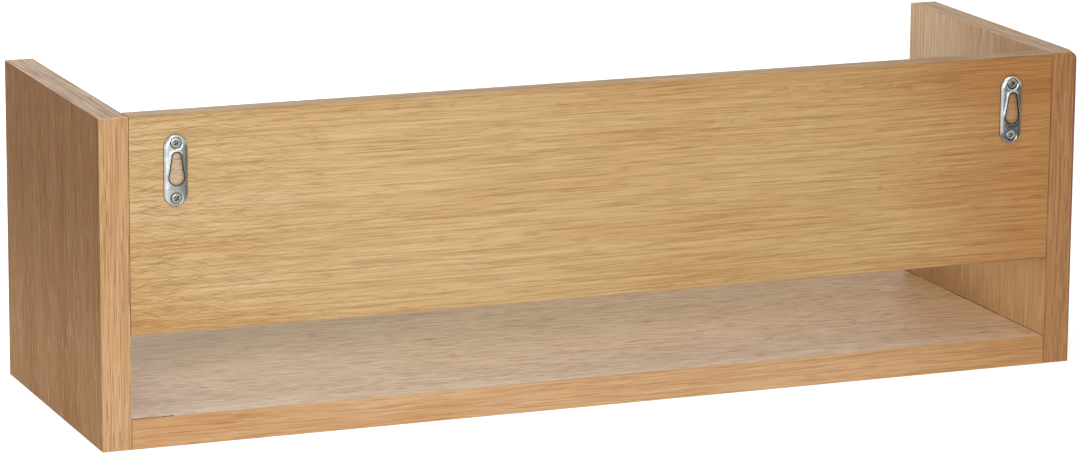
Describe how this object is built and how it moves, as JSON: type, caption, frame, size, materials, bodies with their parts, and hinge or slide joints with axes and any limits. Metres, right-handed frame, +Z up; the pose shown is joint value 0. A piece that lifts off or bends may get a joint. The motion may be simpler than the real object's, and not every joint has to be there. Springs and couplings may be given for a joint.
{
  "type": "wall shelf",
  "caption": "Open box-shaped wall shelf with side panels, a bottom shelf board, and a back panel raised over a rear slot and hung on keyhole plates.",
  "frame": {"origin": "middle of the bounding box's base, on the plane of the underside", "axes": "+Z up, -Y towards the open front, +Y towards the wall, +X to the right seen from the front"},
  "size_m": [0.64, 0.203, 0.2],
  "materials": {
    "oak_veneer": "clear matt lacquer on oak veneer",
    "oak_edging": "clear matt lacquer on solid oak",
    "beech": "raw",
    "zinc_plated_plate": "bright zinc plating",
    "zinc_plated_screw": "bright zinc plating"
  },
  "bodies": {
    "root": {"back_board": "oak_veneer", "back_bottom_edging": "oak_edging", "back_dowel_left_lower": "beech", "back_dowel_left_upper": "beech", "back_dowel_right_lower": "beech", "back_dowel_right_upper": "beech", "back_top_edging": "oak_edging", "left_hanger_lower_screw": "zinc_plated_screw", "left_hanger_plate": "zinc_plated_plate", "left_hanger_upper_screw": "zinc_plated_screw", "left_side_board": "oak_veneer", "left_side_bottom_edging": "oak_edging", "left_side_front_edging": "oak_edging", "left_side_rear_edging": "oak_edging", "left_side_top_edging": "oak_edging", "right_hanger_lower_screw": "zinc_plated_screw", "right_hanger_plate": "zinc_plated_plate", "right_hanger_upper_screw": "zinc_plated_screw", "right_side_board": "oak_veneer", "right_side_bottom_edging": "oak_edging", "right_side_front_edging": "oak_edging", "right_side_rear_edging": "oak_edging", "right_side_top_edging": "oak_edging", "shelf_board": "oak_veneer", "shelf_dowel_left_front": "beech", "shelf_dowel_left_middle": "beech", "shelf_dowel_left_rear": "beech", "shelf_dowel_right_front": "beech", "shelf_dowel_right_middle": "beech", "shelf_dowel_right_rear": "beech", "shelf_front_edging": "oak_edging", "shelf_rear_edging": "oak_edging"}
  },
  "joints": []
}
